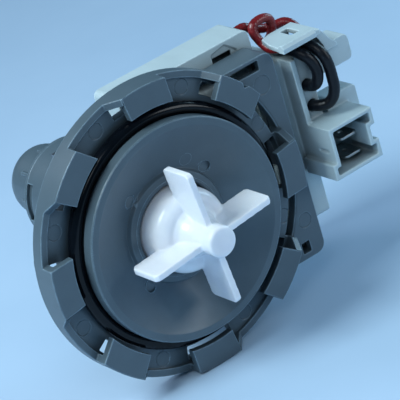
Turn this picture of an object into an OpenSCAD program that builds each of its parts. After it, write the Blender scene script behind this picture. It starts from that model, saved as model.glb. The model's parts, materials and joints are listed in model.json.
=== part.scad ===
// Washer drain pump with an eight-latch bayonet ring and a permanent-magnet rotor.
// Y is the rotor axis and the impeller faces -Y. The latches' front faces lie at y = 0, and +Z is up.

/* [Bayonet ring] */
// Room between the O-ring and the latches' inner edges
o_ring_room = 0.95; // [0.6:0.05:1.4]
// Width of the solid rim around the ring
rim_w = 2.2; // [1.6:0.1:3]
// How far the rim stands in front of the recess floor
rim_h = 1.1; // [0.5:0.1:2]
// Depth of the recess floor behind the latches' front faces
floor_y = 5.5; // [4.5:0.1:7]
// Thickness of the recess floor
floor_t = 3.2; // [2:0.1:4]
// Number of bayonet latches
latch_count = 8; // [6:1:8]
// Radial reach of a latch from the ring's outer edge
latch_reach = 7.4; // [6:0.1:7.6]
// Thickness of a latch
latch_t = 2.4; // [1.6:0.1:3]
// Angle of the first latch's centre
latch_turn = -1.2; // [-4:0.1:4]
// Half the angle that a latch takes
latch_half = 9.9; // [8:0.1:11]
// Extra angle of a latch's slanted end at its inner edge
latch_skew = 2.9; // [0:0.1:4]
// Angle taken by the ramp behind each latch
ramp_angle = 4.9; // [3:0.1:6]
// Angle by which the floor window runs past a latch
window_past = 3.2; // [1:0.1:4]

/* [Sealing disc] */
// Diameter of the spigot that enters the sump
spigot_d = 64.6; // [62:0.1:66]
// How far the spigot's rim stands in front of the latches
spigot_front = 2.75; // [2:0.05:4]
// Depth of the dished face at the middle of the disc, behind the spigot's rim
dish_depth = 9.25; // [7:0.05:10]
// Depth of the groove that holds the O-ring
groove_d = 0.8; // [0.6:0.05:1]
// Flat rim round the dish
dish_rim = 2.4; // [0.8:0.1:3.2]
// Clear gap between the coupling cap and the collar round it
collar_gap = 0.7; // [0.5:0.1:1]
// Depth of the collar's front behind the latches
collar_y = 1.8; // [1.4:0.1:2.4]
// Wall of the dished face
dish_wall = 2.3; // [1.8:0.1:3]
// Section diameter of the sealing O-ring
o_ring_d = 4.1; // [3.4:0.1:4.2]

/* [Rotor can] */
// Outer diameter of the rotor can
can_d = 33; // [31:0.1:34]
// Wall of the rotor can
can_wall = 1.5; // [1.2:0.1:1.8]
// Depth of the rotor can's rear edge
can_end_y = 57; // [56:0.5:62]
// Diameter of the rear cap's dome
cap_dome_d = 22; // [19:0.5:26]
// Length of the rear cap's dome behind the can
cap_dome_l = 22; // [17:0.5:26]
// Wall of the rear cap
cap_wall = 2.1; // [1.6:0.1:2.4]

/* [Motor plate] */
// Distance from the rotor axis to the plate's far edge
plate_x = 47.2; // [46:0.1:49]
// Height of the motor plate
plate_h = 65; // [62:0.5:68]
// Corner radius of the motor plate
plate_r = 3; // [2:0.1:5]
// Depth of the plate's front face behind the latches' front faces
plate_y = 5.8; // [5.5:0.1:6.5]
// Thickness of the motor plate
plate_t = 2; // [1.6:0.1:2.6]
// Depth of the plate's side walls
plate_wall_l = 10; // [8:0.1:10.2]
// Thickness of the plate's side walls
plate_wall = 1.5; // [1.2:0.1:2]

/* [Impeller] */
// Diameter over the blade tips
blade_d = 42.4; // [36:0.2:46]
// Number of blades
blade_count = 4; // [3:1:6]
// Thickness of a blade
blade_t = 2; // [1.4:0.1:3]
// Axial length of a blade at its tip
blade_l = 12; // [9:0.1:13]
// Clear distance between the blades' rear edges and the latches' front plane
blade_back = 3.2; // [3:0.1:4]
// Chamfer at the corners of a blade's tip
blade_chamfer = 1; // [0.4:0.1:2]
// Angle of the first blade
blade_turn = 5.1; // [0:0.1:90]
// Diameter of the hub's nose
nose_d = 9.2; // [8:0.1:11]
// Length of the nose in front of the blades
nose_l = 4; // [2:0.1:5]
// Diameter of the coupling cap behind the blades
cap_d = 24.6; // [23.6:0.1:25]
// How far the coupling cap's front stands in front of the blades' rear edges
dome_rise = 3.5; // [2:0.1:3.8]
// Depth of the coupling cap's rear edge
cap_end_y = 7.4; // [7:0.1:7.6]
// Edge radius of the coupling cap
cap_r = 4.2; // [2:0.1:4.4]
// Wall of the coupling cap
cap_shell = 1.8; // [1.4:0.1:2]

/* [Coupling] */
// Half the angle of the rotor's driving dog
dog_half = 43; // [35:1:45]
// Half the angle of the impeller's dog without its pads
stop_half = 38; // [30:1:40]
// Angle of each rubber pad
pad_angle = 6.8; // [4:0.1:8]
// Angle left between the dogs at each end of their play
dog_gap = 2; // [1:0.1:4]
// Thickness of the lid that closes the coupling
lid_t = 1.4; // [1:0.1:2]

/* [Rotor] */
// Diameter of the rotor shaft
shaft_d = 4; // [3:0.1:5]
// Diameter of the rotor magnet
magnet_d = 28; // [26:0.1:28.4]
// Length of the rotor magnet
magnet_l = 32; // [28:0.5:34]
// Diameter of the magnet's plastic core
core_d = 14; // [11:0.5:16]
// Outer diameter of the bearing bushes
bush_d = 10; // [8:0.1:11]
// Length of the bearing bushes
bush_l = 5; // [4:0.1:5.4]
// Wall of the rubber seats around the bushes
bush_rubber = 2; // [1.2:0.1:2.4]
// Thickness of the thrust washers
washer_t = 0.6; // [0.4:0.1:0.8]

/* [Stator] */
// Thickness of the lamination stack
stack_t = 16; // [13:0.5:17]
// Depth of the stack's front face
stack_y = 20; // [19.5:0.1:21]
// Height of each leg of the core
leg_h = 12; // [10:0.1:13]
// Distance between the core's two legs
leg_gap = 22; // [20:0.1:23]
// Gap between the rotor can and the pole faces
pole_gap = 0.8; // [0.4:0.1:1.2]
// How far the poles reach past the rotor axis
pole_reach = 14; // [12:0.5:16]
// Width of the yoke
yoke_w = 9; // [7:0.1:9.5]
// Length of each coil bobbin
bobbin_l = 25.8; // [22:0.1:26]
// Wall of a bobbin
bobbin_wall = 1; // [0.8:0.1:1.4]
// Thickness of a bobbin's flanges
flange_t = 1.4; // [1:0.1:2]
// Depth of the windings on a bobbin
winding_t = 2.6; // [2:0.1:3]
// Diameter of the stator screws
screw_d = 2.9; // [2.5:0.1:3.5]

/* [Coil cover] */
// Wall of the coil cover
cover_wall = 1.5; // [1.2:0.1:1.8]
// Room between the coils and the coil cover
cover_room = 1.1; // [0.6:0.1:1.6]
// Height of the lead duct's top face above the rotor axis
duct_top = 37; // [35.5:0.1:39]
// Distance along the rotor axis that the lead duct takes
duct_l = 12.6; // [11:0.1:14]
// Distance from the rotor axis to the lead duct's near end
duct_x = 0.8; // [0:0.1:4]
// Width of the snap tongues
tongue_w = 9; // [6:0.5:9]
// How far the snap tongues reach over the plate
tongue_l = 6.4; // [5:0.1:8]

/* [Terminal housing] */
// Outer width of the mains socket
socket_w = 16.2; // [15.5:0.1:18]
// Outer height of the mains socket
socket_h = 15.8; // [15:0.1:18]
// Wall of the mains socket
socket_wall = 1.3; // [1:0.1:1.6]
// Distance of the socket's mouth in front of the latches' front plane
socket_front = 3.3; // [1:0.1:5]
// Depth of the mains socket
socket_depth = 12.4; // [10:0.1:13]
// Height of the socket's top face above the rotor axis
socket_top = 5.3; // [3:0.1:6]
// Width of a terminal tab
tab_w = 6.3; // [4.8:0.1:6.6]
// Thickness of a terminal tab
tab_t = 0.8; // [0.5:0.1:1]
// Free length of a terminal tab in its socket
tab_l = 9; // [7:0.1:9.5]
// Distance between the two terminal tabs
tab_pitch = 5.9; // [5:0.1:6.5]
// Width of the terminal block above the socket
block_w = 7.2; // [6.6:0.1:7.4]

/* [Leads] */
// Diameter of the black sleeved leads
black_d = 3.4; // [2.6:0.1:3.6]
// Diameter of the red sleeved leads
red_d = 2.8; // [2:0.1:3]
// Thickness of the lead clip's plate
clip_t = 1.5; // [1:0.1:2]
// Clear height under the lead clip
clip_gap = 5.2; // [5:0.1:6]

/* [Hidden] */
$fn = 96;

// Clearances
// Between two pieces of one body that fit into each other
fit = 0.05;
// Radial running clearance of the shaft
run = 0.05;
// Between a rigid piece and what it clears
clear = 0.4;
// A cut runs past the face that it opens by this much
past = 1;

// Colours as the photograph shows them
grey = [0.27, 0.36, 0.44];
pale = [0.72, 0.83, 0.86];
white = [0.93, 0.96, 0.98];
rubber = [0.05, 0.06, 0.07];
steel = [0.62, 0.64, 0.66];
red = [0.50, 0.09, 0.09];

// Bayonet ring, derived
spigot_r = spigot_d / 2;
groove_r = spigot_r - groove_d;
o_ring_r = groove_r + fit + o_ring_d / 2;
o_ring_y = floor_y - fit - o_ring_d / 2;
latch_r = o_ring_r + o_ring_d / 2 + o_ring_room;
ring_r = latch_r + latch_reach;
rim_r = ring_r - rim_w;
ring_back = floor_y + floor_t;
latch_pitch = 360 / latch_count;
window_in = latch_r + 0.6;
window_out = rim_r - 0.9;
mark_depth = 0.15;
ramp_step = 0.15;

// Sealing disc and rotor can, derived
can_r = can_d / 2;
bore_r = can_r - can_wall;
dish_y = dish_depth - spigot_front;
dish_k = dish_depth / pow(spigot_r - dish_rim, 2);
function dish(r) = dish_y - dish_k * r * r;
seat_y = floor_y + floor_t - 0.7;
land_end = o_ring_y - o_ring_d / 2 - 0.2;

// Stator, derived
stack_back = stack_y + stack_t;
leg_in = leg_gap / 2;
leg_out = leg_in + leg_h;
bobbin_x = can_r + 3.1;
bobbin_end = bobbin_x + bobbin_l;
yoke_x = bobbin_end + 0.6;
yoke_end = yoke_x + yoke_w;
stack_slip = 0.2;
flange_past = 1;

// Bearings, derived
plate_front_y = seat_y + 0.2;
bush_front_y = plate_front_y;
bush_front_end = bush_front_y + bush_l;
front_washer_y = bush_front_end + 0.3;
core_y = front_washer_y + washer_t + 0.1;
core_end = core_y + magnet_l + 1.6;
rear_washer_y = can_end_y + 0.6;
rear_bush_y = rear_washer_y + washer_t + 0.3;
rear_bush_end = rear_bush_y + bush_l;
shaft_end = rear_bush_end + 1;
seat_r = bush_d / 2 + bush_rubber;

// Coil cover and terminal housing, derived
cover_front = plate_y + plate_wall_l + 0.5;
cover_x = can_r + 1.1;
cover_end = plate_x + 1;
cover_half = leg_out + stack_slip + bobbin_wall + winding_t + flange_past + cover_room + cover_wall;
cover_back = stack_back + bobbin_wall + winding_t + stack_slip + flange_past + 0.2 + cover_wall;
yoke_cover_x = cover_end + clear;
yoke_cover_end = yoke_end + 1.3;
yoke_cover_half = leg_out + stack_slip + 2.5;
yoke_cover_front = plate_y + plate_wall_l - 3.8;
yoke_cover_back = stack_back + stack_slip + 2.3;
block_x = plate_x + 5.8;
block_end = block_x + block_w;
block_front = plate_y + 2.2;
block_back = yoke_cover_front + 12;
socket_back = socket_depth - socket_front;
socket_bottom = socket_top - socket_h;
socket_end = block_x + socket_w;
step_w = 1.6;
step_top = socket_top - 10.8;
notch_w = 1.9;
notch_top = socket_top - 5.4;
notch_bottom = notch_top - 4.6;
tab_x = block_x + socket_w / 2 + 0.5;
tab_front = socket_back - tab_l;
upper_tab_z = socket_top - 6.4;
lower_tab_z = upper_tab_z - tab_pitch;

// Helpers. A slab is drawn in X and Z and runs along Y. A turned form is drawn as radius and depth y.
module slab(y0, y1) rotate([90, 0, 0]) translate([0, 0, -y1]) linear_extrude(y1 - y0) children();
module turned(points) rotate([90, 0, 0]) rotate_extrude() polygon([for (p = points) [p[0], -p[1]]]);
module across(x0, x1) translate([x0, 0, 0]) rotate([90, 0, 90]) linear_extrude(x1 - x0) children();
module box(x0, x1, y0, y1, z0, z1) translate([x0, y0, z0]) cube([x1 - x0, y1 - y0, z1 - z0]);
module ring(r0, r1, y0, y1) slab(y0, y1) difference() {
    circle(r1);
    circle(r0);
}
module rod(r, y0, y1) slab(y0, y1) circle(r);
module at(angle) rotate([0, -angle, 0]) children();
function polar(r, a) = [r * cos(a), r * sin(a)];
// A sector is cut out of a ring by a wedge whose far edge clears the ring.
module wedge(r, a0, a1) polygon(concat([[0, 0]], [for (i = [0 : 4]) polar(r, a0 + (a1 - a0) * i / 4)]));
module sector(r0, r1, a0, a1, y0, y1) slab(y0, y1) intersection() {
    difference() {
        circle(r1);
        circle(r0);
    }
    wedge(r1 * 1.4, a0, a1);
}
// Rectangle with round corners, drawn from its corners
module plaque(x0, x1, z0, z1, r) {
    translate([x0 + r, z0]) square([x1 - x0 - 2 * r, z1 - z0]);
    translate([x0, z0 + r]) square([x1 - x0, z1 - z0 - 2 * r]);
    for (x = [x0 + r, x1 - r], z = [z0 + r, z1 - r]) translate([x, z]) circle(r, $fn = 48);
}

// Bayonet flange with the motor plate and its posts
module arc_slot() intersection() {
    turned([
        [window_out, -past], [ring_r + past, -past], [ring_r + past, plate_y - 0.1], [rim_r + 1.6, plate_y - 0.1],
        [rim_r + 1.6, ring_back + past], [window_out, ring_back + past]
    ]);
    slab(-2 * past, ring_back + 2 * past) wedge(ring_r * 1.4, latch_half + 4.3, latch_pitch - latch_half - 1.2);
}
module latch_gap_marks() {
    for (i = [0 : latch_count - 1]) at(latch_turn + (i + 0.5) * latch_pitch)
        translate([(window_in + window_out) / 2, 0, 0]) rod(2.3, floor_y - past, floor_y + mark_depth);
}
// The open stretch between two latches, drawn from the first latch's centre. Its far side is slanted.
latch_near = polar(latch_r, latch_pitch - latch_half - latch_skew);
latch_far = polar(ring_r, latch_pitch - latch_half);
module latch_gap() polygon([
    polar(latch_r * 0.8, latch_half),
    polar(ring_r * 1.15, latch_half),
    polar(ring_r * 1.15, latch_pitch / 2),
    latch_far + 0.5 * (latch_far - latch_near),
    latch_near - 0.5 * (latch_far - latch_near)
]);
// The ramp joins the rim to the latch beside it.
ramp_k = ring_r * sin(ramp_angle) / (floor_y - rim_h - ramp_step);
module ramp_cut() at(latch_half) across(0, ring_r * 1.2)
    polygon([[ramp_step, 0], [floor_y, (floor_y - ramp_step) * ramp_k], [floor_y, -past], [ramp_step, -past]]);
// The plate takes the rim's place between the latches on its side.
function beside_plate(i) = cos(latch_turn + (i + 0.5) * latch_pitch) > 0.8;
module rim() difference() {
    turned([[latch_r - 0.5, floor_y], [rim_r, floor_y], [rim_r, 0], [ring_r, 0], [ring_r, ring_back], [latch_r - 0.5, ring_back]]);
    for (i = [0 : latch_count - 1]) at(latch_turn + i * latch_pitch) difference() {
        slab(-past, floor_y - rim_h) latch_gap();
        ramp_cut();
    }
}
module latches() difference() {
    ring(latch_r, rim_r + 0.4, 0, latch_t);
    for (i = [0 : latch_count - 1]) at(latch_turn + i * latch_pitch) slab(-past, latch_t + past) latch_gap();
}
module motor_plate() {
    z = plate_h / 2;
    slab(plate_y, plate_y + plate_t) difference() {
        plaque(plate_x - 24, plate_x, -z, z, plate_r);
        circle(ring_r - 1);
    }
    slab(plate_y + plate_t / 2, plate_y + plate_wall_l) difference() {
        plaque(plate_x - 24, plate_x, -z, z, plate_r);
        plaque(plate_x - 24 - 2 * plate_r, plate_x - plate_wall, plate_wall - z, z - plate_wall, plate_r - plate_wall);
    }
}
post_x = -9.5;
post_z = (leg_in + leg_out) / 2 + 2.5;
post_r = screw_d / 2 + 1.8;
module posts() {
    for (s = [-1, 1]) translate([post_x, 0, s * post_z]) {
        rod(post_r, dish(norm([post_x, post_z])) + 1, stack_y);
    }
}
// Disc and rotor can in one turned form
dish_steps = 16;
collar_r = cap_d / 2 + collar_gap;
foot_r = collar_r + 3.6;
module disc_and_can() {
    turned(concat(
        [[bore_r, collar_y + 2.2], [collar_r, collar_y + 2.2], [collar_r, collar_y + 0.4], [collar_r + 0.4, collar_y]],
        [[collar_r + 1.1, collar_y + 0.05], [collar_r + 1.3, collar_y + 0.3], [foot_r - 0.7, collar_y + 0.6]],
        [for (i = [0 : dish_steps]) let (r = foot_r + (spigot_r - dish_rim - foot_r) * i / dish_steps) [r, dish(r)]],
        [[spigot_r - 0.4, -spigot_front], [spigot_r - 0.15, 0.1 - spigot_front], [spigot_r, 0.45 - spigot_front]],
        [[spigot_r, land_end], [groove_r, land_end], [groove_r, floor_y], [latch_r, floor_y], [latch_r, seat_y], [spigot_r - 2.3, seat_y]],
        [for (i = [0 : dish_steps]) let (r = spigot_r - 2.3 - (spigot_r - 4.3 - can_r) * i / dish_steps)
            [r, dish(r) + dish_wall]],
        [[can_r, dish(can_r) + dish_wall + 1.2], [can_r, can_end_y], [bore_r, can_end_y]]
    ));
    for (i = [0 : 7]) at(22.5 + 45 * i) box(can_r - 0.5, spigot_r - 1.9, dish(can_r) + 1, seat_y - 0.3, -0.7, 0.7);
}
module pump_housing() color(grey) difference() {
    union() {
        rim();
        latches();
        motor_plate();
        disc_and_can();
        posts();
    }
    latch_gap_marks();
    // Windows behind the latches, and arc slots beside the plate
    for (i = [0 : latch_count - 1]) at(latch_turn + i * latch_pitch)
        sector(window_in, window_out, -latch_half, latch_half + window_past, floor_y - past / 2, ring_back + past);
    for (i = [0 : latch_count - 1]) if (beside_plate(i)) at(latch_turn + i * latch_pitch) arc_slot();
    // Window and square hole in the plate
    box(plate_x - 15.2, plate_x - 5.2, 0, plate_y + plate_t + past, plate_h / 2 - 4, plate_h / 2 - 1.1);
    box(plate_x - 7.9, plate_x - 5, 0, plate_y + plate_t + past, 1.9 - plate_h / 2, 5.3 - plate_h / 2);
    // Ejector marks on the plate and on the disc
    translate([plate_x - 5.8, 0, 23.9]) rod(2.9, plate_y - past, plate_y + mark_depth);
    translate([plate_x - 4.5, 0, -20.8]) rod(2.3, plate_y - past, plate_y + mark_depth);
    for (i = [0 : 3]) at(blade_turn + 36 + 90 * i) translate([18.2, 0, 0]) rod(1.9, 0, dish(18.2) + mark_depth);
    // Pilot holes for the stator screws
    for (s = [-1, 1]) translate([post_x, 0, s * post_z]) rod(screw_d / 2 - 0.1, stack_y - 9, stack_y + past);
    // Castellations of the can's rear edge
    for (a = [47, 167, 287]) at(a) box(bore_r - 2 * past, can_r + past, can_end_y - 3.2, can_end_y + past, -5.5, 5.5);
}
module rear_cap() color(grey) {
    dome_r = cap_dome_d / 2;
    dome_f = 7;
    end_y = can_end_y + cap_dome_l;
    neck_y = can_end_y + 1.4;
    in_r = dome_r - cap_wall;
    turned(concat(
        [[seat_r + fit, can_end_y - 1.5], [bore_r - 2, can_end_y - 1.5], [bore_r - 2, can_end_y - 6],
         [bore_r - fit, can_end_y - 6], [bore_r - fit, can_end_y + 0.1], [can_r - 0.2, can_end_y + 0.1],
         [can_r - 0.2, neck_y], [dome_r, neck_y]],
        [for (a = [0 : 10 : 90]) [dome_r - dome_f + dome_f * cos(a), end_y - dome_f + dome_f * sin(a)]],
        [[0, end_y], [0, end_y - cap_wall]],
        [for (a = [90 : -15 : 0]) [dome_r - dome_f + (dome_f - cap_wall) * cos(a), end_y - dome_f + (dome_f - cap_wall) * sin(a)]],
        [[in_r, rear_bush_end + 3], [shaft_d / 2 + 2, rear_bush_end + 1.4],
         [shaft_d / 2 + 2, rear_bush_end + 0.1], [seat_r + fit, rear_bush_end + 0.1]]
    ));
    for (a = [95, 140, 185, 230, 320, 5]) at(a)
        box(dome_r - 0.8, dome_r + 0.5, neck_y - 0.3, end_y - dome_f - 3, -0.6, 0.6);
}
module spigot_o_ring() color(rubber)
    translate([0, o_ring_y, 0]) rotate([90, 0, 0]) rotate_extrude() translate([o_ring_r, 0]) circle(o_ring_d / 2, $fn = 48);

// Bearings
pocket_r = bore_r - 0.8;
module bearing_plate() color(grey) turned([
    [pocket_r, dish(bore_r) + 0.3], [bore_r - fit, dish(bore_r) + 0.3], [bore_r - fit, plate_front_y + 2.4],
    [seat_r + 1.6, plate_front_y + 2.4], [seat_r + 1.6, plate_front_y + bush_l - 0.2],
    [seat_r + fit, plate_front_y + bush_l - 0.2], [seat_r + fit, plate_front_y],
    [pocket_r - 1.6, plate_front_y], [pocket_r - 1.6, plate_front_y - 0.5], [pocket_r, plate_front_y - 0.5]
]);
module bush(y) turned([
    [shaft_d / 2 + run, y], [bush_d / 2, y], [bush_d / 2, y + bush_l], [shaft_d / 2 + run, y + bush_l]
]);
module bush_seat(y) ring(bush_d / 2 + fit, seat_r, y + 0.2, y + bush_l - 0.3);
module front_bush() color([0.42, 0.36, 0.30]) bush(bush_front_y);
module front_bush_seat() color(rubber) bush_seat(bush_front_y);
module rear_bush() color([0.42, 0.36, 0.30]) bush(rear_bush_y);
module rear_bush_seat() color(rubber) bush_seat(rear_bush_y);

// Stator
module stator_core() color(steel) slab(stack_y, stack_back) difference() {
    union() {
        for (s = [-1, 1]) translate([-pole_reach, s > 0 ? leg_in : -leg_out]) square([pole_reach + yoke_x + 1, leg_h]);
        translate([yoke_x, -leg_out]) square([yoke_w, 2 * leg_out]);
    }
    circle(can_r + pole_gap);
    for (s = [-1, 1]) translate([post_x, s * post_z]) circle(screw_d / 2 + 0.25, $fn = 32);
    for (s = [-1, 1]) translate([yoke_x + yoke_w / 2, s * rivet_z]) circle(rivet_d / 2 + fit, $fn = 32);
}
rivet_d = 3;
rivet_z = leg_out - 5;
module core_rivets() color(steel) for (s = [-1, 1]) translate([yoke_x + yoke_w / 2, 0, s * rivet_z]) {
    rod(rivet_d / 2, stack_y - 0.1, stack_back + 0.1);
    rod(rivet_d / 2 + 0.9, stack_back + 0.1, stack_back + 1);
    rod(rivet_d / 2 + 0.9, stack_y - 1, stack_y - 0.1);
}
module stator_screws() color(steel) for (s = [-1, 1]) translate([post_x, 0, s * post_z]) difference() {
    union() {
        rod(screw_d / 2 - 0.15, stack_y - 8, stack_back + 0.2);
        turned([[0, stack_back + 0.1], [2.9, stack_back + 0.1], [2.9, stack_back + 1], [2.1, stack_back + 2.1], [0, stack_back + 2.1]]);
    }
    for (a = [0, 90]) at(a) box(-1.5, 1.5, stack_back + 1.1, stack_back + 3, -0.35, 0.35);
}
module bobbin(s) {
    inner_in = leg_in - stack_slip;
    inner_out = leg_out + stack_slip;
    reach = bobbin_wall + winding_t + flange_past;
    y0 = stack_y - stack_slip;
    y1 = stack_back + stack_slip;
    mirror([0, 0, s > 0 ? 0 : 1]) difference() {
        union() {
            box(bobbin_x, bobbin_end, y0 - bobbin_wall, y1 + bobbin_wall, inner_in - bobbin_wall, inner_out + bobbin_wall);
            for (x = [bobbin_x, bobbin_end - flange_t]) across(x, x + flange_t)
                plaque(y0 - reach, y1 + reach, inner_in - reach, inner_out + reach, 2);
        }
        box(bobbin_x - past, bobbin_end + past, y0, y1, inner_in, inner_out);
    }
}
module winding(s) {
    inner_in = leg_in - stack_slip - bobbin_wall - fit;
    inner_out = leg_out + stack_slip + bobbin_wall + fit;
    y0 = stack_y - stack_slip - bobbin_wall - fit;
    y1 = stack_back + stack_slip + bobbin_wall + fit;
    mirror([0, 0, s > 0 ? 0 : 1]) across(bobbin_x + flange_t + fit, bobbin_end - flange_t - fit) difference() {
        plaque(y0 - winding_t, y1 + winding_t, inner_in - winding_t, inner_out + winding_t, 2);
        translate([y0, inner_in]) square([y1 - y0, inner_out - inner_in]);
    }
}
module upper_bobbin() color(pale) bobbin(1);
module lower_bobbin() color(pale) bobbin(-1);
module upper_winding() color([0.60, 0.30, 0.14]) winding(1);
module lower_winding() color([0.60, 0.30, 0.14]) winding(-1);

// Coil cover with its lead duct and snap tongues
tongue_x = plate_x - 13;
tongue_top = cover_half;
tongue_t = 1.2;
slot_x = tongue_x;
slot_w = 7;
slot_top = plate_h / 2 + 0.9;
pocket_cut = 0.5;
module coil_cover() color(pale) difference() {
    union() {
        across(cover_x, cover_end) plaque(cover_front, cover_back, -cover_half, cover_half, 3);
        box(cover_x, cover_end, cover_front, cover_front + 6, -cover_half, cover_half);
        slab(cover_front, cover_front + duct_l) plaque(duct_x, cover_end, leg_out + 1, duct_top, 2);
        // Tongues that slide inside the plate's walls
        for (s = [0, 1]) mirror([0, 0, s]) box(tongue_x, tongue_x + tongue_w, cover_front - tongue_l, cover_front + 2,
            tongue_top - tongue_t, tongue_top);
    }
    // Slot at the plate's rear edge, and a shallow pocket above it
    box(slot_x, slot_x + slot_w, cover_front - past, cover_front + cover_wall + past, tongue_top + past / 2, slot_top);
    slab(cover_front - past, cover_front + pocket_cut) polygon([
        [slot_x, tongue_top + past / 2], [slot_x, slot_top + 1.4], [slot_x + 5.2, slot_top + 2.5],
        [tongue_x + tongue_w, slot_top - 0.8], [tongue_x + tongue_w, tongue_top + past / 2]
    ]);
    // Room for the coils, open at the front and at the yoke
    across(cover_x + cover_wall, cover_end + past)
        plaque(cover_front - 6, cover_back - cover_wall, cover_wall - cover_half, cover_half - cover_wall, 2);
    // Room inside the lead duct
    box(duct_x + cover_wall, cover_end - cover_wall, cover_front + cover_wall, cover_front + duct_l - cover_wall,
        cover_half, duct_top - cover_wall);
    box(duct_x + cover_wall, cover_x, cover_front + cover_wall, cover_front + duct_l - cover_wall,
        leg_out - 1, duct_top - cover_wall);
    // Slots for the core's legs
    for (s = [-1, 1]) box(cover_x - past, cover_x + cover_wall + past, cover_front - past, stack_back + stack_slip,
        s > 0 ? leg_in - stack_slip : -leg_out - stack_slip, s > 0 ? leg_out + stack_slip : stack_slip - leg_in);
    // Mouth of the duct for the red lead
    translate([cover_end - 2, coil_lead[0][1], coil_lead[0][2]]) rotate([0, 90, 0]) cylinder(r = red_d / 2 + 0.3, h = 4);
}

// Terminal housing: shell round the yoke, terminal block and mains socket
module socket_body() {
    slab(-socket_front, socket_back + 2) {
        difference() {
            translate([block_x, socket_bottom]) square([socket_w, socket_h]);
            translate([socket_end - notch_w, notch_bottom]) square([notch_w + past, notch_top - notch_bottom]);
        }
        translate([block_x - step_w, socket_bottom]) square([step_w + 1, step_top - socket_bottom]);
    }
}
module socket_cavity() {
    slab(-socket_front - past, socket_back) {
        difference() {
            translate([block_x + socket_wall, socket_bottom + socket_wall])
                square([socket_w - 2 * socket_wall, socket_h - 2 * socket_wall]);
            translate([socket_end - notch_w - socket_wall, notch_bottom - socket_wall])
                square([notch_w + 2 * socket_wall, notch_top - notch_bottom + 2 * socket_wall]);
        }
        translate([block_x - step_w + socket_wall, socket_bottom + socket_wall])
            square([step_w + 1, step_top - socket_bottom - 2 * socket_wall]);
    }
}
lead_holes_z = [socket_top + 10.7, socket_top + 4.1];
lead_hole_x = block_x + 4.4;
module terminal_housing() color(pale) difference() {
    union() {
        across(yoke_cover_x, yoke_cover_end)
            plaque(yoke_cover_front, yoke_cover_back, -yoke_cover_half, yoke_cover_half, 1.5);
        // Terminal block with its cheek towards the plate
        box(block_x, block_end, block_front, block_back, socket_bottom, yoke_cover_half);
        box(block_x, block_x + 1.8, block_front - 1.5, block_front + 1, socket_top - 1, yoke_cover_half);
        socket_body();
        // Housing behind the socket for the tabs' roots
        box(block_x, socket_end - notch_w, socket_back, block_back, socket_bottom + 1, socket_top - 1);
        // Raised boss on the socket's top
        slab(socket_back - 1.6, socket_back + 5.4) plaque(block_end + 1.4, socket_end + 4, socket_top - 4, socket_top + 4, 1.4);
    }
    box(yoke_cover_x - past, yoke_end + stack_slip, stack_y - stack_slip - 1, stack_back + stack_slip + 1,
        -leg_out - stack_slip, leg_out + stack_slip);
    socket_cavity();
    // Moulding's hollows, open at the back
    box(block_x + 1.4, socket_end - notch_w - 1.4, tab_back + 0.3, block_back + past, socket_bottom + 2.4, socket_top - 2.4);
    box(block_x + 1.4, block_end - 1.4, block_front + lead_depth + 1.6, block_back + past, socket_top, lead_pit_z - 1.6);
    box(yoke_cover_x - past, yoke_cover_end - 1.6, yoke_cover_front + 1.6, stack_y - stack_slip - 2.6,
        -yoke_cover_half + 1.6, yoke_cover_half - 1.6);
    for (z = [upper_tab_z, lower_tab_z])
        box(tab_x - tab_w / 2 - fit, tab_x + tab_w / 2 + fit, socket_back - past, tab_back + fit, z - tab_t / 2 - fit, z + tab_t / 2 + fit);
    for (z = lead_holes_z) translate([lead_hole_x, 0, z]) rod(black_d / 2 + 0.1, 0, block_front + lead_depth + 0.1);
    translate([loop_lead[len(loop_lead) - 1][0], loop_lead[len(loop_lead) - 1][1], lead_pit_z])
        cylinder(r = red_d / 2 + 0.1, h = 6, $fn = 48);
    // Slot in the socket's cheek
    box(block_x - past, block_x + 0.7, -0.5, 4, step_top + 2.8, step_top + 3.8);
}
lead_depth = 2.5;
lead_pit_z = yoke_cover_half - 3;
tab_back = socket_back + 3;
module terminal_tab(z) difference() {
    union() {
        box(tab_x - tab_w / 2, tab_x + tab_w / 2, tab_front + 1.2, tab_back, z - tab_t / 2, z + tab_t / 2);
        box(tab_x - tab_w / 2 + 1.1, tab_x + tab_w / 2 - 1.1, tab_front, tab_front + 1.3, z - tab_t / 2, z + tab_t / 2);
        for (s = [-1, 1]) translate([tab_x + s * (tab_w / 2 - 1.2), tab_front + 1.2, z - tab_t / 2])
            cylinder(r = 1.2, h = tab_t, $fn = 32);
    }
    translate([tab_x, tab_front + 4.4, z - tab_t]) cylinder(r = 0.85, h = 2 * tab_t, $fn = 32);
}
module upper_terminal_tab() color(steel) terminal_tab(upper_tab_z);
module lower_terminal_tab() color(steel) terminal_tab(lower_tab_z);

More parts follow.
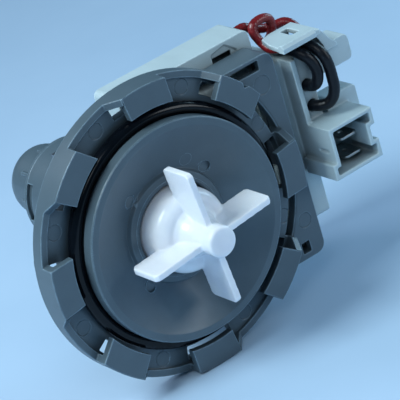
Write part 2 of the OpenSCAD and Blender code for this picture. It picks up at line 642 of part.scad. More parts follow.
// Lead clip with the pocket of the thermal fuse
clip_z = yoke_cover_half + clip_gap;
clip_top = clip_z + clip_t;
pocket_x = block_end + 0.4;
pocket_end = block_end + 13.2;
pocket_y = 5;
pocket_back = 13.5;
pocket_top = yoke_cover_half + 0.2;
pocket_bottom = pocket_top - 8;
lip_front = 1;
lip_top = clip_top + 1.1;
lip_x = block_x - 4.6;
skirt_front = 3.4;
skirt_x = pocket_x + 5.8;
module lead_clip() color(pale) difference() {
    union() {
        // Plate over the leads, with a thick front lip
        translate([0, 0, clip_z]) linear_extrude(clip_t) polygon([
            [block_x - 2.2, 14.6], [block_x + 1.4, 15.9], [block_end + 2.6, 15.9], [block_end + 2.6, lip_front + 1.2],
            [lip_x + 0.1, lip_front + 1.2], [lip_x + 0.7, 8.9]
        ]);
        across(lip_x, block_end + 0.5) polygon([
            [lip_front + 0.2, clip_z + 0.05], [lip_front + 2.6, clip_z + 0.05], [lip_front + 2.9, clip_top + 0.1],
            [lip_front + 1.8, lip_top - 0.1], [lip_front + 0.6, lip_top], [lip_front, clip_top]
        ]);
        box(block_x + 1.3, block_end, 14.2, 17.6, yoke_cover_half + 0.05, clip_z + 0.1);
        // Pocket for the fuse, and the skirt that joins it to the plate
        slab(pocket_y, pocket_back) plaque(pocket_x, pocket_end, pocket_bottom, pocket_top, 1.6);
        slab(skirt_front, pocket_back - 0.1) polygon([
            [block_end + 1, clip_z + 0.1], [block_end + 2.5, clip_top - 0.1], [block_end + 4.4, clip_top - 2],
            [skirt_x, pocket_top + 1.6], [skirt_x + 1.8, pocket_top - 0.3], [skirt_x + 1.8, pocket_top - 1.3],
            [skirt_x - 3.2, pocket_top - 1.3], [skirt_x - 2.9, pocket_top + 0.6], [skirt_x - 4, pocket_top + 3]
        ]);
    }
    box(pocket_x + 1.4, pocket_end - 1.4, pocket_y + 1.4, pocket_back + past, pocket_bottom + 1.4, pocket_top - 1.4);
    box(block_x + 3.6, block_end - 0.7, 7.6, 13.3, clip_z - past, clip_top + past);
    translate([outer_lead[len(outer_lead) - 1][0], 0, outer_lead[len(outer_lead) - 1][2]])
        rod(black_d / 2 + 0.1, 14, outer_lead[len(outer_lead) - 1][1] + 0.2);
}
fuse_r = 2.2;
module thermal_fuse() color([0.85, 0.84, 0.78]) translate([pocket_x + 2, (pocket_y + pocket_back) / 2, (pocket_top + pocket_bottom) / 2])
    rotate([0, 90, 0]) cylinder(r = fuse_r, h = 8, $fn = 48);

// Leads, each one tube swept along its own points
coil_lead = [
    [46.5, 22.6, 34.6], [48.2, 22.6, 34.9], [49.8, 22.6, 35.1], [51.3, 22.6, 34.9], [53.2, 22.6, 33.7], [55.8, 22.7, 32.3],
    [58.5, 22.8, 31.4], [61.2, 22.5, 30.9], [62.9, 22, 31], [64.2, 21.2, 31], [65.4, 20, 30.2], [66.4, 18.4, 28.2],
    [67, 16.8, 26], [67, 15.4, 24.2], [67, 13.4, 22.9], [67, 11.4, 22.4]
];
inner_lead = [
    [57.4, 10.4, 16], [57.4, 7.6, 16], [57.5, 5, 16.3], [57.7, 3, 17.6], [58.1, 2.2, 19.8], [58.1, 2.2, 22.2], [57.4, 2.5, 24.5],
    [56.4, 3.1, 26.4], [55.3, 4.7, 27.8], [54.7, 6.6, 28.5], [54.5, 8, 28.6]
];
loop_lead = [
    [54.45, 8.4, 28.6], [54.2, 9.8, 28.7], [53.4, 12, 28.8], [52.5, 14.2, 28.9], [52.2, 16.4, 30], [51.6, 17.7, 32.1],
    [51.1, 18.3, 34.4], [52, 18.6, 35.9], [54.2, 18.8, 36.4], [56.5, 19, 36.1], [58.1, 19.2, 35.1], [58.5, 19.3, 33.6],
    [58.2, 19.3, 31.8], [57.8, 20.1, 29.8], [57.5, 21.4, 28.2], [57.4, 21.8, 26.8], [57.4, 21.8, 25], [57.4, 21.8, 23.2]
];
outer_lead = [
    [57.4, 10.4, 9.4], [57.4, 7.8, 9.4], [58.2, 5.2, 9.5], [59.7, 3, 10], [61, 1.6, 11.9], [61.6, 0.8, 14.8], [61.7, 0.7, 17.8],
    [61.6, 0.6, 21], [61.2, 0.8, 24], [60.6, 1.9, 26.4], [59.8, 3.9, 28], [58.9, 6.4, 28.8], [58, 10, 28.8], [58, 13.2, 28.8],
    [58, 16.4, 28.8]
];
lead_sides = 10;
lead_steps = 3;
// A smooth curve through the points, as Catmull-Rom spans
function span(p0, p1, p2, p3, t) = 0.5 * (2 * p1 + (p2 - p0) * t + (2 * p0 - 5 * p1 + 4 * p2 - p3) * t * t
    + (3 * p1 - p0 - 3 * p2 + p3) * t * t * t);
function curve(p) = let (n = len(p)) concat(
    [for (i = [0 : n - 2], k = [0 : lead_steps - 1])
        span(p[max(i - 1, 0)], p[i], p[i + 1], p[min(i + 2, n - 1)], k / lead_steps)],
    [p[n - 1]]);
function unit(v) = v / norm(v);
function tangents(q) = let (n = len(q)) [for (i = [0 : n - 1]) unit(q[min(i + 1, n - 1)] - q[max(i - 1, 0)])];
function flatten_to(v, t) = unit(v - t * (v * t));
function normals(t, i, v) = i == len(t) ? [] : let (w = flatten_to(v, t[i])) concat([w], normals(t, i + 1, w));
module lead(points, d) {
    q = curve(points);
    t = tangents(q);
    v = normals(t, 0, abs(t[0][2]) < 0.9 ? [0, 0, 1] : [1, 0, 0]);
    n = len(q);
    rings = [for (i = [0 : n - 1]) let (w = cross(t[i], v[i])) for (k = [0 : lead_sides - 1])
        q[i] + d / 2 * (v[i] * cos(360 * k / lead_sides) + w * sin(360 * k / lead_sides))];
    walls = [for (i = [0 : n - 2], k = [0 : lead_sides - 1]) let (j = (k + 1) % lead_sides, a = i * lead_sides)
        each [[a + k, a + lead_sides + k, a + lead_sides + j], [a + k, a + lead_sides + j, a + j]]];
    polyhedron(rings, concat(walls, [[for (k = [0 : lead_sides - 1]) k]],
        [[for (k = [lead_sides - 1 : -1 : 0]) (n - 1) * lead_sides + k]]));
}
module red_coil_lead() color(red) lead(coil_lead, red_d);
module red_loop_lead() color(red) lead(loop_lead, red_d);
module inner_black_lead() color(rubber) lead(inner_lead, black_d);
module outer_black_lead() color(rubber) lead(outer_lead, black_d);

// Rotor
shaft_front = -9.5;
module rotor_shaft() color(steel) turned([
    [0, shaft_front], [shaft_d / 2 - 0.4, shaft_front], [shaft_d / 2, shaft_front + 0.4],
    [shaft_d / 2, shaft_end - 0.4], [shaft_d / 2 - 0.4, shaft_end], [0, shaft_end]
]);
module rotor_magnet() color([0.16, 0.16, 0.17]) ring(core_d / 2, magnet_d / 2, core_y + 0.8, core_y + 0.8 + magnet_l);
module magnet_core() color([0.9, 0.9, 0.86]) {
    ring(shaft_d / 2 + 0.02, core_d / 2, core_y, core_end);
    ring(core_d / 2 - 1, core_d / 2 + 2.4, core_y, core_y + 0.8);
    ring(core_d / 2 - 1, core_d / 2 + 2.4, core_end - 0.8, core_end);
    ring(shaft_d / 2 + 0.02, shaft_d / 2 + 1.8, core_end - 0.1, rear_washer_y - 0.1);
}
module thrust_washer(y) ring(shaft_d / 2 + run, shaft_d / 2 + 2.4, y, y + washer_t);
module front_thrust_washer() color([0.8, 0.78, 0.7]) thrust_washer(front_washer_y);
module rear_thrust_washer() color([0.8, 0.78, 0.7]) thrust_washer(rear_washer_y);
chamber_r = cap_d / 2 - cap_shell;
cap_front = 0.3 - blade_back - dome_rise;
chamber_y = cap_front + 2;
dog_y = chamber_y + 0.4;
dog_end = cap_end_y - lid_t - 0.4;
dog_hub_r = shaft_d / 2 + 2.2;
dog_turn = 185;
stop_turn = dog_turn + dog_half + stop_half + pad_angle + dog_gap;
module drive_dog() color([0.9, 0.9, 0.86]) {
    ring(shaft_d / 2 + 0.02, dog_hub_r, dog_y, dog_end);
    sector(dog_hub_r - 0.2, chamber_r - clear, dog_turn - dog_half, dog_turn + dog_half, dog_y, dog_end);
}

// Impeller
hub_bore_front = shaft_front - 0.5;
module blades() for (i = [0 : blade_count - 1]) at(blade_turn + i * 360 / blade_count) {
    r = blade_d / 2;
    front = -blade_back - blade_l;
    translate([0, 0, -blade_t / 2]) linear_extrude(blade_t) polygon([
        [nose_d / 2 - 1, front], [r - blade_chamfer, front], [r, front + blade_chamfer],
        [r, -blade_back - blade_chamfer], [r - blade_chamfer, -blade_back],
        [cap_d / 2 - cap_r, -blade_back], [cap_d / 2 - cap_r - 1, cap_front + 0.5], [nose_d / 2 - 1, cap_front + 0.5]
    ]);
}
module impeller() color(white) {
    nose_r = nose_d / 2;
    nose_y = -blade_back - blade_l - nose_l;
    r = cap_d / 2;
    difference() {
        union() {
            blades();
            turned(concat(
                [[0, nose_y], [nose_r - 1, nose_y]],
                [for (a = [60 : -30 : 0]) [nose_r - 1 + cos(a), nose_y + 1 - sin(a)]],
                [[nose_r, nose_y + nose_l + 1.3], [nose_r + 0.5, nose_y + nose_l + 4], [nose_r + 1.1, cap_front - 2.9],
                 [nose_r + 2.1, cap_front - 1], [nose_r + 3.3, cap_front]],
                [for (a = [90 : -10 : 0]) [r - cap_r + cap_r * cos(a), cap_front + cap_r - cap_r * sin(a)]],
                [[r, cap_end_y], [0, cap_end_y]]
            ));
        }
        rod(chamber_r, chamber_y, cap_end_y + past);
        rod(shaft_d / 2 + run, hub_bore_front, cap_end_y);
    }
    sector(dog_hub_r + 0.3, chamber_r + 0.3, stop_turn - stop_half, stop_turn + stop_half, chamber_y - 0.2, dog_end);
}
module coupling_lid() color(white) ring(shaft_d / 2 + 0.4, chamber_r - fit, cap_end_y - lid_t, cap_end_y);
module stop_pads() color(rubber) for (s = [-1, 1]) sector(dog_hub_r + 0.5, chamber_r - 0.1,
    stop_turn + s * stop_half - (s < 0 ? pad_angle : 0), stop_turn + s * stop_half + (s > 0 ? pad_angle : 0),
    chamber_y + fit, dog_end);

pump_housing();
rear_cap();
spigot_o_ring();
bearing_plate();
front_bush();
front_bush_seat();
rear_bush();
rear_bush_seat();
stator_core();
core_rivets();
stator_screws();
upper_bobbin();
lower_bobbin();
upper_winding();
lower_winding();
coil_cover();
terminal_housing();
upper_terminal_tab();
lower_terminal_tab();
lead_clip();
thermal_fuse();
red_coil_lead();
red_loop_lead();
inner_black_lead();
outer_black_lead();
rotor_shaft();
rotor_magnet();
magnet_core();
front_thrust_washer();
rear_thrust_washer();
drive_dog();
impeller();
coupling_lid();
stop_pads();
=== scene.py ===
import json
import math

import bmesh
import bpy
from mathutils import Matrix, Vector


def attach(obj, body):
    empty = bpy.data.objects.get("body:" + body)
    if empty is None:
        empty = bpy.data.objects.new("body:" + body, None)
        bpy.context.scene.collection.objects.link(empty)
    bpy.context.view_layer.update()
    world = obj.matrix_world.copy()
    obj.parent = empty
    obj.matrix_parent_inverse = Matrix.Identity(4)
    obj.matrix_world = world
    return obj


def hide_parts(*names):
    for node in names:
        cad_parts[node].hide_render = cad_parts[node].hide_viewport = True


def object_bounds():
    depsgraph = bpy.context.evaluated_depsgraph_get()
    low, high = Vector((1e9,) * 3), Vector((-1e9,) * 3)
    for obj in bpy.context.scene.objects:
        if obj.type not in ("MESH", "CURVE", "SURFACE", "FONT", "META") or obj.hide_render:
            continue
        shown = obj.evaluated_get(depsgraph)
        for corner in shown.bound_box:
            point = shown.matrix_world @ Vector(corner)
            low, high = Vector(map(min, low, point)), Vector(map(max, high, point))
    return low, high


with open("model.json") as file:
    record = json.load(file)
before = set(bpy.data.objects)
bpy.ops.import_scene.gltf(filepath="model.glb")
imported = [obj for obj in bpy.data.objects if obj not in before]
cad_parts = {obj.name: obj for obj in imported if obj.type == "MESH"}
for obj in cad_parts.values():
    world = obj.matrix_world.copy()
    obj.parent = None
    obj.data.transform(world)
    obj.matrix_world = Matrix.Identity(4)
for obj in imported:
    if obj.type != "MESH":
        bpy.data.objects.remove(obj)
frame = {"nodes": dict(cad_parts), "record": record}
cad_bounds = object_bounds()
MM = 0.001
scene = bpy.context.scene
scene.view_settings.view_transform = "Standard"

# Each node's material slot and body, as the record gives them
SLOT_OF = {row["node"]: row["material_slot"] for row in frame["record"]["subparts"]}
BODY_OF = {node: body for body, nodes in frame["record"]["behaviour"]["bodies"].items() for node in nodes}

# Camera: the photograph's solved view. The camera's place is in metres
PHOTO_PX = 400
FOCAL_PX = 2646.03
SENSOR_MM = 36
CAMERA_RIGHT = (0.772572, -0.576398, -0.266268)
CAMERA_UP = (0.445754, 0.193747, 0.873937)
CAMERA_BACK = (-0.452147, -0.793869, 0.406615)
CAMERA_AT = (-0.3266, -0.5870, 0.3057)


def make_camera():
    data = bpy.data.cameras.new("photo_camera")
    data.sensor_width = SENSOR_MM
    data.lens = FOCAL_PX * SENSOR_MM / PHOTO_PX
    data.clip_start = 0.05
    data.clip_end = 20
    camera = bpy.data.objects.new("photo_camera", data)
    columns = (CAMERA_RIGHT, CAMERA_UP, CAMERA_BACK, CAMERA_AT)
    camera.matrix_world = Matrix([*zip(*columns), (0, 0, 0, 1)])
    scene.collection.objects.link(camera)
    scene.camera = camera


# Materials
BLACK = (0, 0, 0)
WHITE = (1, 1, 1)
# Pointiness, from a flat face to a convex edge
POINTY_SPAN = (0.501, 0.512)
# Cosine of the angle between a face and its rounded edge, from the edge to the flat
TURN_SPAN = (0.955, 0.995)
# Scale of the tape's wave, which gives a lap about every 6 mm
LAP_SCALE = 55


def fill_inputs(node, values):
    """Sets the node's inputs. An underscore in a key stands for a space in the input's name."""
    for key, value in values.items():
        node.inputs[key.replace("_", " ")].default_value = value


def tone(colour, factor):
    return tuple(min(1.0, part * factor) for part in colour)


class Mat:
    """A node material. Lengths given to it are in millimetres, in the object's own space."""

    def __init__(self, name):
        self.material = bpy.data.materials.new(name)
        self.material.use_nodes = True
        self.tree = self.material.node_tree
        self.tree.nodes.clear()
        self.shader = self.node("BsdfPrincipled")
        self.link(self.shader.outputs[0], self.node("OutputMaterial").inputs["Surface"])
        self.where = self.node("TexCoord").outputs["Object"]

    def node(self, kind, **values):
        made = self.tree.nodes.new("ShaderNode" + kind)
        fill_inputs(made, values)
        return made

    def link(self, output, socket):
        self.tree.links.new(output, socket)

    def set(self, **values):
        fill_inputs(self.shader, values)

    def feed(self, colour, rough):
        self.link(colour, self.shader.inputs["Base Color"])
        self.link(rough, self.shader.inputs["Roughness"])

    def scaled(self, factors):
        made = self.node("Mapping", Scale=factors)
        self.link(self.where, made.inputs["Vector"])
        return made.outputs["Vector"]

    def noise(self, size_mm, detail=3, rough=0.55, stretch=(1, 1, 1)):
        made = self.node("TexNoise", Scale=1.0, Detail=detail, Roughness=rough)
        factor = 1000 / size_mm
        self.link(self.scaled([factor * part for part in stretch]), made.inputs["Vector"])
        return made.outputs["Fac"]

    def ramp(self, fac, stops):
        made = self.node("ValToRGB")
        slots = made.color_ramp.elements
        while len(slots) < len(stops):
            slots.new(0.5)
        for slot, (position, colour) in zip(slots, stops):
            slot.position = position
            slot.color = (*colour, 1)
        self.link(fac, made.inputs["Fac"])
        return made.outputs["Color"]

    def mottle(self, fac, dark, light):
        """Soft patches of two tones."""
        return self.ramp(fac, [(0.3, dark), (0.7, light)])

    def span(self, fac, lo, hi, from_span=(0.0, 1.0)):
        """Goes from lo to hi while fac goes through from_span."""
        made = self.node("MapRange", From_Min=from_span[0], From_Max=from_span[1], To_Min=lo, To_Max=hi)
        self.link(fac, made.inputs["Value"])
        return made.outputs["Result"]

    def mix(self, fac, first, second):
        """A mix of two colours. Each argument is a socket or a plain value."""
        made = self.node("Mix")
        made.data_type = "RGBA"
        for key, value in ((0, fac), (6, first), (7, second)):
            if hasattr(value, "is_linked"):
                self.link(value, made.inputs[key])
            else:
                made.inputs[key].default_value = value if key == 0 else (*value, 1)
        return made.outputs[2]

    def bump(self, *layers):
        """layers: (height socket, strength, distance in mm). Each bump sits on the one before."""
        last = None
        for height, strength, distance_mm in layers:
            made = self.node("Bump", Strength=strength, Distance=distance_mm * MM)
            self.link(height, made.inputs["Height"])
            if last is not None:
                self.link(last, made.inputs["Normal"])
            last = made.outputs["Normal"]
        self.link(last, self.shader.inputs["Normal"])

    def occlusion_shade(self, reach_mm):
        """1 in the open, towards 0 where walls stand close: the mask of painted shade in corners and
        recesses.
        """
        made = self.node("AmbientOcclusion", Distance=reach_mm * MM)
        made.samples = 5
        return made.outputs["AO"]

    def edge_highlight(self, reach_mm, colour):
        """The colour on a thin line along the convex edges, and black elsewhere: the mask of a painted
        highlight on the edges.
        """
        surface = self.node("NewGeometry")
        rounder = self.node("Bevel", Radius=reach_mm * MM)
        rounder.samples = 6
        turn = self.node("VectorMath")
        turn.operation = "DOT_PRODUCT"
        self.link(surface.outputs["Normal"], turn.inputs[0])
        self.link(rounder.outputs["Normal"], turn.inputs[1])
        convex = self.span(surface.outputs["Pointiness"], 0, 1, POINTY_SPAN)
        near = self.span(turn.outputs["Value"], 1, 0, TURN_SPAN)
        return self.mix(near, BLACK, self.mix(convex, BLACK, colour))


def plastic(name, base, rough, speck, grain, edge_glint=0.0, glint_tone=1.0, milky=0.0, corner_shade=0.0):
    """A moulding with flow marks and dust, a painted highlight of another tone along its edges, and painted
    shade in its corners.
    """
    m = Mat(name)
    fine = m.noise(0.45, detail=4, rough=0.6)
    flow = m.noise(6, rough=0.5, stretch=(1, 0.35, 1))
    dust = m.ramp(m.noise(1.3, detail=5, rough=0.7), [(0.60, BLACK), (0.74, WHITE)])
    colour = m.mottle(m.noise(14), tone(base, 1 - speck), tone(base, 1 + speck))
    colour = m.mix(0.35, colour, m.ramp(flow, [(0.35, tone(base, 0.92)), (0.65, tone(base, 1.09))]))
    colour = m.mix(m.mix(0.10, BLACK, dust), colour, tone(base, 2.2))
    # Painted highlight: a thin line along the convex edges is lightened to a brighter tone of the base,
    # broken into patches by noise.
    if edge_glint:
        patches = m.span(m.noise(2.5, detail=4, rough=0.65), 0.3 * edge_glint, edge_glint, (0.35, 0.6))
        glint_mask = m.edge_highlight(0.5, m.mix(patches, BLACK, WHITE))
        colour = m.mix(glint_mask, colour, tone(base, glint_tone))
    # Painted shade: the colour darkens towards a tenth of the base where walls stand close.
    if corner_shade:
        colour = m.mix(m.span(m.occlusion_shade(7), corner_shade, 0.0, (0.15, 0.75)), colour, tone(base, 0.10))
    m.feed(colour, m.span(fine, rough - 0.06, rough + 0.08))
    m.bump((m.noise(4, detail=2), 0.08, 0.2), (fine, grain, 0.03))
    m.set(IOR=1.5)
    if milky:
        m.set(Subsurface_Weight=milky, Subsurface_Scale=1.5 * MM, Subsurface_Radius=(1.0, 1.1, 1.25))
    return m.material


def rubber(name, base, rough, grain=0.3):
    m = Mat(name)
    fine = m.noise(0.35)
    colour = m.mottle(m.noise(6), tone(base, 0.7), tone(base, 1.5))
    m.feed(colour, m.span(fine, rough - 0.05, rough + 0.12))
    m.bump((fine, grain, 0.03))
    m.set(Specular_IOR_Level=0.22)
    return m.material


def sleeve(name, base, rough, shine=0.5):
    m = Mat(name)
    folds = m.noise(2.2)
    colour = m.mottle(folds, tone(base, 0.75), tone(base, 1.35))
    m.feed(colour, m.span(folds, rough - 0.1, rough + 0.12))
    m.bump((folds, 0.35, 0.12), (m.noise(0.3), 0.3, 0.03))
    m.set(Specular_IOR_Level=shine)
    return m.material


def tape(name, base):
    """Tape wound round a coil, with a darker line at the edge of each lap."""
    m = Mat(name)
    wave = m.node("TexWave", Scale=1.0, Distortion=1.5)
    m.link(m.scaled((LAP_SCALE, 0, 0)), wave.inputs["Vector"])
    laps = wave.outputs["Fac"]
    colour = m.ramp(laps, [(0.05, tone(base, 0.7)), (0.2, base)])
    colour = m.mix(0.3, colour, m.mottle(m.noise(5), tone(base, 0.85), tone(base, 1.1)))
    m.feed(colour, m.span(m.noise(1.2), 0.25, 0.4))
    m.bump((laps, 0.5, 0.15), (m.noise(0.8), 0.2, 0.03))
    return m.material


def metal(name, base, rough=0.3, stretch=(1, 12, 1), grain_mm=0.8):
    m = Mat(name)
    brushed = m.noise(grain_mm, rough=0.6, stretch=stretch)
    colour = m.mottle(m.noise(3), tone(base, 0.85), tone(base, 1.1))
    m.feed(colour, m.span(brushed, rough - 0.08, rough + 0.12))
    m.bump((brushed, 0.25, 0.02))
    m.set(Metallic=1.0)
    return m.material


# The plastics below carry a painted highlight along their edges and painted shade in their corners.
MATS = {
    "grey_plastic": plastic(
        "grey_moulding", (0.078, 0.114, 0.142), rough=0.35, speck=0.06, grain=0.22,
        edge_glint=0.9, glint_tone=3.5, corner_shade=0.6),
    "pale_plastic": plastic(
        "pale_moulding", (0.46, 0.57, 0.61), rough=0.40, speck=0.05, grain=0.22,
        edge_glint=0.8, glint_tone=1.6, milky=0.03, corner_shade=0.75),
    "white_plastic": plastic(
        "white_moulding", (0.86, 0.88, 0.95), rough=0.24, speck=0.03, grain=0.12,
        edge_glint=0.3, glint_tone=1.1, milky=0.25),
    "fibre": plastic("washer_fibre", (0.62, 0.58, 0.48), rough=0.6, speck=0.1, grain=0.4),
    "rubber": rubber("sealing_rubber", (0.002, 0.003, 0.005), rough=0.12),
    "magnet": rubber("ferrite", (0.025, 0.025, 0.028), rough=0.5, grain=0.4),
    "black_sleeve": sleeve("black_sleeve", (0.003, 0.004, 0.007), rough=0.36, shine=0.3),
    "red_sleeve": sleeve("red_sleeve", (0.17, 0.010, 0.012), rough=0.28),
    "coil_tape": tape("coil_tape", (0.50, 0.58, 0.60)),
    "steel": metal("rolled_steel", (0.50, 0.51, 0.53)),
    "tinned_brass": metal("tinned_blade", (0.34, 0.35, 0.34), stretch=(1, 6, 1)),
    "laminations": metal(
        "stacked_steel", (0.26, 0.27, 0.29), rough=0.45, stretch=(1, 30, 1), grain_mm=2.0),
    "sintered_bronze": metal(
        "sintered_bronze", (0.36, 0.25, 0.15), rough=0.5, stretch=(1, 1, 1), grain_mm=0.3),
}


def dress_nodes():
    for node, slot in SLOT_OF.items():
        materials = frame["nodes"][node].data.materials
        materials.clear()
        materials.append(MATS[slot])


# New objects
def object_from(name, bm):
    mesh = bpy.data.meshes.new(name)
    bm.to_mesh(mesh)
    bm.free()
    obj = bpy.data.objects.new(name, mesh)
    scene.collection.objects.link(obj)
    return obj


def angles(count):
    return [2 * math.pi * k / count for k in range(count)]


def skin_over(name, rings, tyre):
    """A smooth object over rings of points in millimetres, closed like a tyre or capped at its two ends."""
    bm = bmesh.new()
    loops = [[bm.verts.new(point * MM) for point in ring] for ring in rings]
    following = loops[1:] + loops[:1] if tyre else loops[1:]
    count = len(loops[0])
    for a, b in zip(loops, following):
        for k in range(count):
            j = (k + 1) % count
            bm.faces.new((a[k], a[j], b[j], b[k]))
    if not tyre:
        bm.faces.new(list(reversed(loops[0])))
        bm.faces.new(loops[-1])
    bmesh.ops.recalc_face_normals(bm, faces=bm.faces)
    obj = object_from(name, bm)
    obj.data.shade_smooth()
    return obj


def settle(obj, slot, body):
    obj.data.materials.clear()
    obj.data.materials.append(MATS[slot])
    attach(obj, body)


def stand_for(obj, node):
    settle(obj, SLOT_OF[node], BODY_OF[node])
    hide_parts(node)


# The dish of the grey moulding: a bowl round the rotor's axis, in millimetres
DISH_CENTRE_Y = 6.5
DISH_RISE = 9.25
DISH_R = 29.9
# The round ends of the two screw posts come through the dish by a hair, less than POST_PROUD
POST_X = -9.5
POST_Z = 19.5
POST_R = 3.25
POST_PROUD = 0.6
# How far off an end's rim, and behind the dish, a point may lie and still count as the end's
POST_ROOM = 0.1
DISH_ROOM = 0.03
# Ejector marks, fine raised circles: four evenly round the dish, and a lone one at its own x and z
MARKS = 4
MARKS_ANGLE = 41.3
MARKS_FROM_AXIS = 18.5
MARK_R = 1.75
LONE_MARK = (8.6, 17.0)
LONE_MARK_R = 1.85
MARK_SIDES = 48
MARK_SUNK = 0.15
# Points this close become one, on the posts' ends and elsewhere, and edges this short go
MELT = 0.02
WELD = 0.002
SLIVER = 0.003


def dish_y(x, z):
    return DISH_CENTRE_Y - DISH_RISE / DISH_R ** 2 * (x * x + z * z)


def level_dish(bm):
    """Lays the ends of the screw posts on the dish and melts them into it."""
    ends = []
    for v in bm.verts:
        x, y, z = (part / MM for part in v.co)
        face = dish_y(x, z)
        from_rim = math.hypot(x - POST_X, abs(z) - POST_Z) - POST_R
        if abs(from_rim) < POST_ROOM and face - POST_PROUD < y < face + DISH_ROOM:
            v.co.y = face * MM
            ends.append(v)
    bmesh.ops.remove_doubles(bm, verts=ends, dist=MELT * MM)
    bmesh.ops.dissolve_degenerate(bm, edges=bm.edges, dist=SLIVER * MM)
    bmesh.ops.dissolve_verts(bm, verts=[v for v in ends if v.is_valid])


def ejector_mark(name, x, z, radius, width, proud):
    """A thin closed rib on a circle, which follows the dish."""
    section = ((-width / 2, MARK_SUNK), (-width / 4, -proud), (width / 4, -proud), (width / 2, MARK_SUNK))
    rings = []
    for outward, along_y in section:
        ring = []
        for a in angles(MARK_SIDES):
            at_x = x + (radius + outward) * math.cos(a)
            at_z = z + (radius + outward) * math.sin(a)
            ring.append(Vector((at_x, dish_y(at_x, at_z) + along_y, at_z)))
        rings.append(ring)
    settle(skin_over(name, rings, tyre=True), "grey_plastic", "pump_body")


def dress_dish():
    for i in range(MARKS):
        a = math.radians(MARKS_ANGLE + 360 * i / MARKS)
        x = MARKS_FROM_AXIS * math.cos(a)
        z = MARKS_FROM_AXIS * math.sin(a)
        ejector_mark("ejector_line_%d" % (i + 1), x, z, MARK_R, width=0.22, proud=0.07)
    ejector_mark("ejector_line_5", *LONE_MARK, LONE_MARK_R, width=0.16, proud=0.04)


# Dressed copies of the mouldings, with rounded edges in real mesh
BEVEL_WIDTHS = {
    "pump_housing": 0.22,
    "rear_cap": 0.3,
    "coil_cover": 0.35,
    "upper_terminal_tab": 0.12,
    "lower_terminal_tab": 0.12,
}
# Edges that turn by more degrees than the first are rounded. Faces within the second are one flat
BEVEL_FROM_ANGLE = 28
FLAT_ANGLE = 0.6


def copy_mesh(node):
    """A copy of the node, with the slivers of its mesh cleaned away."""
    mesh = frame["nodes"][node].data.copy()
    mesh.materials.clear()
    obj = bpy.data.objects.new(node + "_dressed", mesh)
    scene.collection.objects.link(obj)
    bm = bmesh.new()
    bm.from_mesh(mesh)
    if node == "pump_housing":
        level_dish(bm)
    bmesh.ops.remove_doubles(bm, verts=bm.verts, dist=WELD * MM)
    bmesh.ops.dissolve_degenerate(bm, edges=bm.edges, dist=SLIVER * MM)
    bmesh.ops.dissolve_limit(bm, verts=bm.verts, edges=bm.edges, angle_limit=math.radians(FLAT_ANGLE))
    bm.to_mesh(mesh)
    bm.free()
    return obj


def apply_modifiers(obj):
    view = bpy.context.evaluated_depsgraph_get()
    mesh = bpy.data.meshes.new_from_object(obj.evaluated_get(view))
    old = obj.data
    obj.modifiers.clear()
    obj.data = mesh
    bpy.data.meshes.remove(old)


def rounded(node, width_mm):
    obj = copy_mesh(node)
    bevel = obj.modifiers.new("bevel", "BEVEL")
    bevel.width = width_mm * MM
    bevel.segments = 2
    bevel.limit_method = "ANGLE"
    bevel.angle_limit = math.radians(BEVEL_FROM_ANGLE)
    bevel.use_clamp_overlap = False
    bevel.miter_outer = "MITER_ARC"
    apply_modifiers(obj)
    obj.data.shade_smooth()
    normals = obj.modifiers.new("normals", "WEIGHTED_NORMAL")
    normals.weight = 60
    apply_modifiers(obj)
    stand_for(obj, node)


def melted(node, voxel_mm, rounds, keep=0.5):
    """A moulding whose inner and outer corners run into each other, as in soft plastic."""
    obj = copy_mesh(node)
    remesh = obj.modifiers.new("remesh", "REMESH")
    remesh.mode = "VOXEL"
    remesh.voxel_size = voxel_mm * MM
    remesh.use_smooth_shade = True
    smooth = obj.modifiers.new("smooth", "SMOOTH")
    smooth.factor = 0.5
    smooth.iterations = rounds
    thin_out = obj.modifiers.new("thin_out", "DECIMATE")
    thin_out.ratio = keep
    apply_modifiers(obj)
    obj.data.shade_smooth()
    stand_for(obj, node)


def dress_mouldings():
    for node, width_mm in BEVEL_WIDTHS.items():
        rounded(node, width_mm)
    melted("impeller", voxel_mm=0.28, rounds=6)
    melted("lead_clip", voxel_mm=0.2, rounds=5)
    melted("terminal_housing", voxel_mm=0.26, rounds=4, keep=0.3)


# Leads: each sleeve swept along its route, in millimetres
SLEEVE_SIDES = 24
ROUTE_STEPS = 10
# What is left of the radius at the end of a sleeve and one step from it
END_TAPER = (0.90, 0.98)
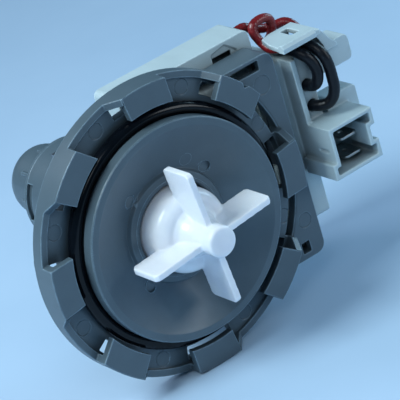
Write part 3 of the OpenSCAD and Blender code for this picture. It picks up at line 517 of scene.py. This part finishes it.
# The skin moves in and out by the share wave of the radius, once in each pitch
# WAVE_DRIFT, in radians, makes the waves a little uneven
WAVE_DRIFT = 1.3
SLEEVES = {
    "red_sleeve": {"radius": 1.4, "wave": 0.02, "pitch": 0.9},
    "black_sleeve": {"radius": 1.7, "wave": 0.008, "pitch": 1.7},
}
LEADS = {
    "red_coil_lead": [
        (46.5, 22.6, 34.6), (48.2, 22.6, 34.9), (49.8, 22.6, 35.1), (51.3, 22.6, 34.9),
        (53.2, 22.6, 33.7), (55.8, 22.7, 32.3), (58.5, 22.8, 31.4), (61.2, 22.5, 30.9),
        (62.9, 22, 31), (64.2, 21.2, 31), (65.4, 20, 30.2), (66.4, 18.4, 28.2),
        (67, 16.8, 26), (67, 15.4, 24.2), (67, 13.4, 22.9), (67, 11.4, 22.4),
    ],
    "red_loop_lead": [
        (54.45, 8.4, 28.6), (54.2, 9.8, 28.7), (53.4, 12, 28.8), (52.5, 14.2, 28.9),
        (52.2, 16.4, 30), (51.6, 17.7, 32.1), (51.1, 18.3, 34.4), (52, 18.6, 35.9),
        (54.2, 18.8, 36.4), (56.5, 19, 36.1), (58.1, 19.2, 35.1), (58.5, 19.3, 33.6),
        (58.2, 19.3, 31.8), (57.8, 20.1, 29.8), (57.5, 21.4, 28.2), (57.4, 21.8, 26.8),
        (57.4, 21.8, 25), (57.4, 21.8, 23.2),
    ],
    "inner_black_lead": [
        (57.4, 10.4, 16), (57.4, 7.6, 16), (57.5, 5, 16.3), (57.7, 3, 17.6),
        (58.1, 2.2, 19.8), (58.1, 2.2, 22.2), (57.4, 2.5, 24.5), (56.4, 3.1, 26.4),
        (55.3, 4.7, 27.8), (54.7, 6.6, 28.5), (54.5, 8, 28.6),
    ],
    "outer_black_lead": [
        (57.4, 10.4, 9.4), (57.4, 7.8, 9.4), (58.2, 5.2, 9.5), (59.7, 3, 10),
        (61, 1.6, 11.9), (61.6, 0.8, 14.8), (61.7, 0.7, 17.8), (61.6, 0.6, 21),
        (61.2, 0.8, 24), (60.6, 1.9, 26.4), (59.8, 3.9, 28), (58.9, 6.4, 28.8),
        (58, 10, 28.8), (58, 13.2, 28.8), (58, 16.4, 28.8),
    ],
}


def span_point(points, t):
    """The smooth curve through four points, a share t of the way from the second to the third."""
    a, b, c, d = points
    return 0.5 * (
        2 * b + (c - a) * t + (2 * a - 5 * b + 4 * c - d) * t * t
        + (3 * b - a - 3 * c + d) * t * t * t)


def smooth_route(points):
    stops = [Vector(point) for point in points]
    last = len(stops) - 1
    route = []
    for i in range(last):
        four = (stops[max(i - 1, 0)], stops[i], stops[i + 1], stops[min(i + 2, last)])
        route += [span_point(four, k / ROUTE_STEPS) for k in range(ROUTE_STEPS)]
    return route + [stops[-1]]


def sweep(name, points, radius, wave, pitch):
    route = smooth_route(points)
    last = len(route) - 1
    tangents = [(route[min(i + 1, last)] - route[max(i - 1, 0)]).normalized() for i in range(last + 1)]
    normal = tangents[0].orthogonal().normalized()
    rings = []
    travelled = 0.0
    for i, (centre, tangent) in enumerate(zip(route, tangents)):
        normal = (normal - tangent * normal.dot(tangent)).normalized()
        side = tangent.cross(normal)
        travelled += (centre - route[i - 1]).length if i else 0.0
        from_end = min(i, last - i)
        taper = END_TAPER[from_end] if from_end < len(END_TAPER) else 1.0
        swell = math.sin(2 * math.pi * travelled / pitch + WAVE_DRIFT * math.sin(travelled))
        r = radius * taper * (1 - wave + wave * swell)
        spokes = [normal * math.cos(a) + side * math.sin(a) for a in angles(SLEEVE_SIDES)]
        rings.append([centre + r * spoke for spoke in spokes])
    return skin_over(name, rings, tyre=False)


def dress_leads():
    for node, points in LEADS.items():
        stand_for(sweep(node + "_sleeve", points, **SLEEVES[SLOT_OF[node]]), node)


# Stage
FLOOR_HALF_SIDE_M = 4.0
FLOOR_PATCH_MM = 60
FLOOR_DARK = (0.42, 0.58, 0.76)
FLOOR_LIGHT = (0.45, 0.61, 0.79)
SKY_COLOUR = (0.30, 0.66, 1.0, 1)
SKY_STRENGTH = 0.15
LIGHTS_AIM = (10, 10, 0)


def make_stage():
    bm = bmesh.new()
    bmesh.ops.create_grid(bm, x_segments=8, y_segments=8, size=FLOOR_HALF_SIDE_M)
    floor = object_from("floor", bm)
    floor.location.z = cad_bounds[0][2]
    m = Mat("floor_paper")
    patches = m.mottle(m.noise(FLOOR_PATCH_MM), FLOOR_DARK, FLOOR_LIGHT)
    m.link(patches, m.shader.inputs["Base Color"])
    m.set(Roughness=0.9)
    floor.data.materials.append(m.material)
    world = bpy.data.worlds.new("studio")
    scene.world = world
    world.use_nodes = True
    fill_inputs(world.node_tree.nodes["Background"], {"Color": SKY_COLOUR, "Strength": SKY_STRENGTH})


def make_light(name, at_mm, side_mm, power, colour):
    """A soft square light that faces the part."""
    data = bpy.data.lights.new(name, "AREA")
    data.shape = "SQUARE"
    data.size = side_mm * MM
    data.energy = power
    data.color = colour
    obj = bpy.data.objects.new(name, data)
    obj.location = Vector(at_mm) * MM
    to_part = Vector(LIGHTS_AIM) * MM - obj.location
    obj.rotation_euler = to_part.to_track_quat("-Z", "Y").to_euler()
    scene.collection.objects.link(obj)


def make_lights():
    make_light("key_top_left", (-420, 0, 500), 260, 3.9, (0.80, 0.95, 1.0))
    make_light("rim_top_back", (-300, 330, 480), 280, 1.3, (0.80, 0.88, 1.0))
    make_light("fill_camera", (-280, -420, 450), 280, 0.8, (0.85, 0.93, 1.0))
    make_light("fill_right", (450, -430, 200), 260, 0.95, (0.85, 0.93, 1.0))
    make_light("kick_right", (620, 50, 220), 280, 1.6, (0.50, 0.80, 1.0))


make_camera()
dress_nodes()
dress_mouldings()
dress_leads()
dress_dish()
make_stage()
make_lights()
